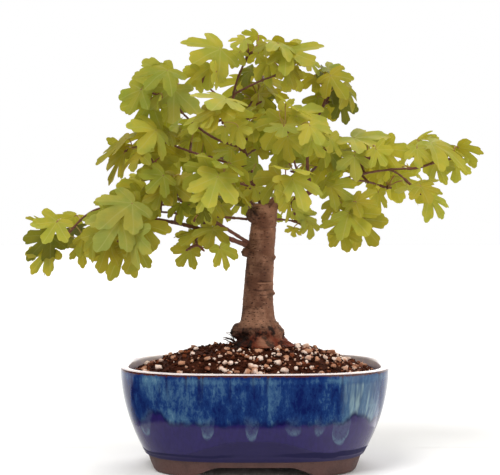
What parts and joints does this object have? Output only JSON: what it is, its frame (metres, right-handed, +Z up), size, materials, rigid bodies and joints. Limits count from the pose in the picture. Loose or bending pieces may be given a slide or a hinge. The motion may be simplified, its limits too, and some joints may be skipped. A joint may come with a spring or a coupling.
{
  "type": "potted bonsai tree",
  "caption": "Field maple bonsai with a stout tapering trunk, spreading boughs and lobed leaves, in an oblong glazed pot on bracket feet.",
  "frame": {"origin": "Middle of the whole plant's box, on the plane under the pot's feet", "axes": "+X to the viewer's right along the pot's long side, +Y away from the viewer, +Z up"},
  "size_m": [0.3418, 0.1638, 0.3236],
  "materials": {
    "glaze": "glossy deep blue glaze with paler runs, bare brown clay on the feet",
    "soil": "rough granular mix with pale pumice and bark chips",
    "bark": "matte brown bark",
    "leaves": "soft satin yellow-green leaf"
  },
  "bodies": {
    "root": {"pot": "glaze", "soil": "soil", "trunk": "bark", "bough_left_lower": "bark", "bough_left_upper": "bark", "bough_left_shoot": "bark", "bough_left_spur": "bark", "bough_left_inner": "bark", "bough_left_back": "bark", "bough_leader": "bark", "bough_apex": "bark", "bough_top_right": "bark", "bough_top_left": "bark", "bough_upper_left": "bark", "bough_mid_left": "bark", "bough_right_main": "bark", "bough_right_upright": "bark", "bough_right_long": "bark", "bough_right_low": "bark", "bough_right_small": "bark", "bough_right_cross": "bark", "bough_right_inner": "bark", "bough_right_back": "bark", "bough_right_tip": "bark", "bough_front_low": "bark", "bough_front_left": "bark", "bough_front_high": "bark", "bough_back_left": "bark", "bough_back_middle": "bark", "bough_back_top": "bark", "bough_back_right": "bark", "bough_back_low": "bark", "foliage_left_lower": "leaves", "foliage_left_upper": "leaves", "foliage_left_shoot": "leaves", "foliage_left_spur": "leaves", "foliage_left_inner": "leaves", "foliage_left_back": "leaves", "foliage_apex": "leaves", "foliage_top_right": "leaves", "foliage_top_left": "leaves", "foliage_upper_left": "leaves", "foliage_mid_left": "leaves", "foliage_right_upright": "leaves", "foliage_right_long": "leaves", "foliage_right_low": "leaves", "foliage_right_small": "leaves", "foliage_right_cross": "leaves", "foliage_right_inner": "leaves", "foliage_right_back": "leaves", "foliage_right_tip": "leaves", "foliage_front_low": "leaves", "foliage_front_left": "leaves", "foliage_front_high": "leaves", "foliage_back_left": "leaves", "foliage_back_middle": "leaves", "foliage_back_top": "leaves", "foliage_back_right": "leaves", "foliage_back_low": "leaves"}
  },
  "joints": []
}
